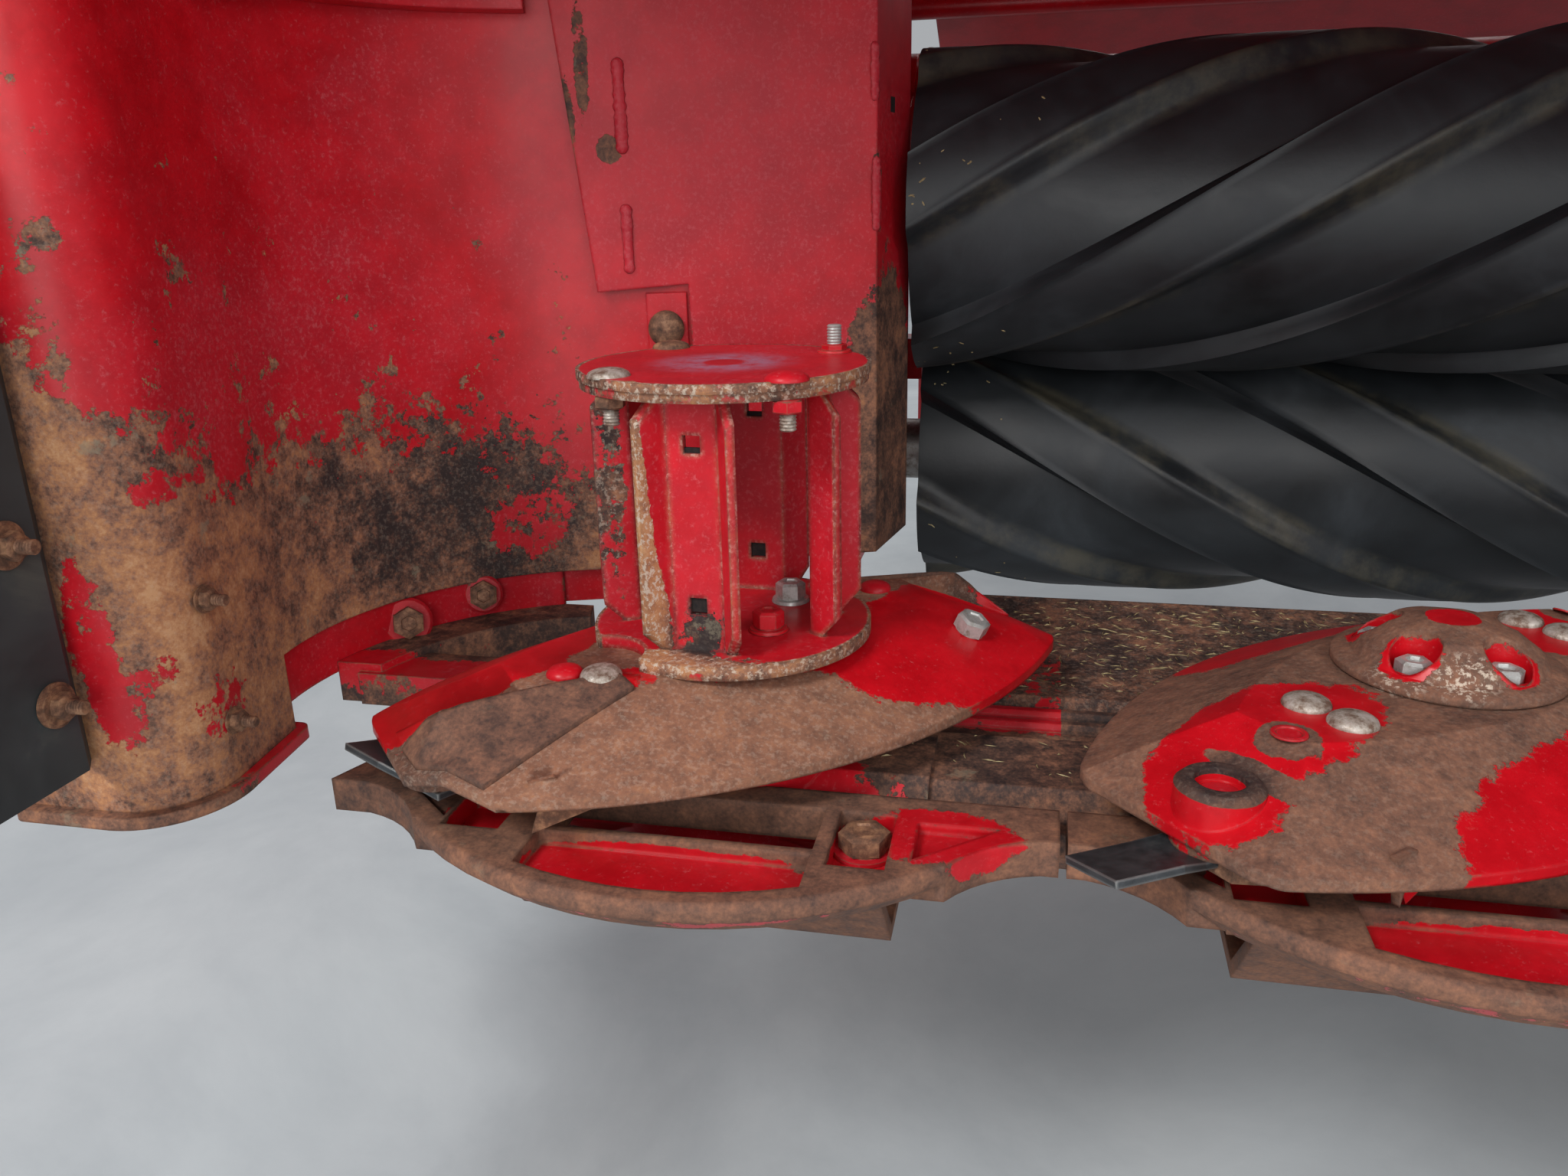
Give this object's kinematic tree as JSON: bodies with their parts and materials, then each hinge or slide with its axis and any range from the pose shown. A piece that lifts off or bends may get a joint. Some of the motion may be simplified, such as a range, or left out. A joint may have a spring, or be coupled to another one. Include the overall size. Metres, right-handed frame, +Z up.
{
  "type": "cutting and conditioning header of a mower conditioner",
  "caption": "Disc cutterbar with oval discs, end turrets, curved end walls and two rubber conditioning rolls in a sheet-metal header with front shield and windrow wings.",
  "frame": {"origin": "middle of the top link pin bore, on the clevis above the header's cross beam", "axes": "+X along the cutterbar to the right as seen from the front, +Y to the rear, +Z up"},
  "size_m": [2.818, 1.9153, 1.1084],
  "materials": {
    "red_paint": "faded semi-gloss red paint with rust",
    "worn_steel": "worn and rusty castings with rests of red paint",
    "black_rubber": "matt black rubber",
    "knife_steel": "dark heat-treated steel",
    "shaft_steel": "turned steel"
  },
  "bodies": {
    "frame": {"cutterbar": "worn_steel", "ledge": "worn_steel", "rock_guards": "worn_steel", "left_side_frame": "red_paint", "left_wall": "red_paint", "left_rear_panel": "red_paint", "left_end_cover": "red_paint", "left_nose_shoe": "red_paint", "left_flap": "black_rubber", "right_side_frame": "red_paint", "right_wall": "red_paint", "right_rear_panel": "red_paint", "right_end_cover": "red_paint", "right_nose_shoe": "red_paint", "right_flap": "black_rubber", "top_beam": "red_paint", "top_clevis": "red_paint", "hood": "red_paint", "gearbox": "red_paint", "input_shaft": "shaft_steel"},
    "disc_1": {"disc_1": "red_paint", "knives_1": "knife_steel", "left_turret": "red_paint"},
    "disc_2": {"disc_2": "red_paint", "knives_2": "knife_steel"},
    "disc_3": {"disc_3": "red_paint", "knives_3": "knife_steel"},
    "disc_4": {"disc_4": "red_paint", "knives_4": "knife_steel"},
    "disc_5": {"disc_5": "red_paint", "knives_5": "knife_steel"},
    "disc_6": {"disc_6": "red_paint", "knives_6": "knife_steel", "right_turret": "red_paint"},
    "lower_roll": {"lower_roll": "black_rubber", "lower_shaft": "shaft_steel"},
    "roll_arms": {"left_roll_arm": "red_paint", "right_roll_arm": "red_paint", "torque_tube": "red_paint"},
    "upper_roll": {"upper_roll": "black_rubber", "upper_shaft": "shaft_steel"},
    "front_shield": {"front_shield": "red_paint"},
    "swath_gate": {"swath_gate": "red_paint"},
    "left_wing": {"left_wing": "red_paint"},
    "right_wing": {"right_wing": "red_paint"}
  },
  "joints": [
    {"name": "disc_1_spin", "type": "hinge", "parent": "frame", "child": "disc_1", "pos_m": [-1, -0.7, -0.713], "axis": [0, 0, 1], "continuous": true},
    {"name": "disc_2_spin", "type": "hinge", "parent": "frame", "child": "disc_2", "pos_m": [-0.6, -0.7, -0.713], "axis": [0, 0, 1], "continuous": true},
    {"name": "disc_3_spin", "type": "hinge", "parent": "frame", "child": "disc_3", "pos_m": [-0.2, -0.7, -0.713], "axis": [0, 0, 1], "continuous": true},
    {"name": "disc_4_spin", "type": "hinge", "parent": "frame", "child": "disc_4", "pos_m": [0.2, -0.7, -0.713], "axis": [0, 0, 1], "continuous": true},
    {"name": "disc_5_spin", "type": "hinge", "parent": "frame", "child": "disc_5", "pos_m": [0.6, -0.7, -0.713], "axis": [0, 0, 1], "continuous": true},
    {"name": "disc_6_spin", "type": "hinge", "parent": "frame", "child": "disc_6", "pos_m": [1, -0.7, -0.713], "axis": [0, 0, 1], "continuous": true},
    {"name": "lower_roll_spin", "type": "hinge", "parent": "frame", "child": "lower_roll", "pos_m": [0, -0.172, -0.71], "axis": [1, 0, 0], "continuous": true},
    {"name": "roll_arms_lift", "type": "hinge", "parent": "frame", "child": "roll_arms", "pos_m": [0, -0.053, -0.376], "axis": [-1, 0, 0], "range_deg": [0, 14]},
    {"name": "upper_roll_spin", "type": "hinge", "parent": "roll_arms", "child": "upper_roll", "pos_m": [0, -0.28, -0.481], "axis": [1, 0, 0], "continuous": true},
    {"name": "front_shield_swing", "type": "hinge", "parent": "frame", "child": "front_shield", "pos_m": [0, -0.776, -0.203], "axis": [1, 0, 0], "range_deg": [0, 98]},
    {"name": "swath_gate_tilt", "type": "hinge", "parent": "frame", "child": "swath_gate", "pos_m": [0, 0.062, -0.273], "axis": [1, 0, 0], "range_deg": [-11, 15]},
    {"name": "left_wing_turn", "type": "hinge", "parent": "frame", "child": "left_wing", "pos_m": [-0.965, 0.132, -0.633], "axis": [0, 0, 1], "range_deg": [-15, 18]},
    {"name": "right_wing_turn", "type": "hinge", "parent": "frame", "child": "right_wing", "pos_m": [0.965, 0.132, -0.633], "axis": [0, 0, -1], "range_deg": [-15, 18]}
  ],
  "couplings": [
    {"joint": "disc_2_spin", "follows": "disc_1_spin", "ratio": -1},
    {"joint": "disc_3_spin", "follows": "disc_1_spin", "ratio": 1},
    {"joint": "disc_4_spin", "follows": "disc_1_spin", "ratio": -1},
    {"joint": "disc_5_spin", "follows": "disc_1_spin", "ratio": 1},
    {"joint": "disc_6_spin", "follows": "disc_1_spin", "ratio": -1},
    {"joint": "upper_roll_spin", "follows": "lower_roll_spin", "ratio": -1}
  ]
}
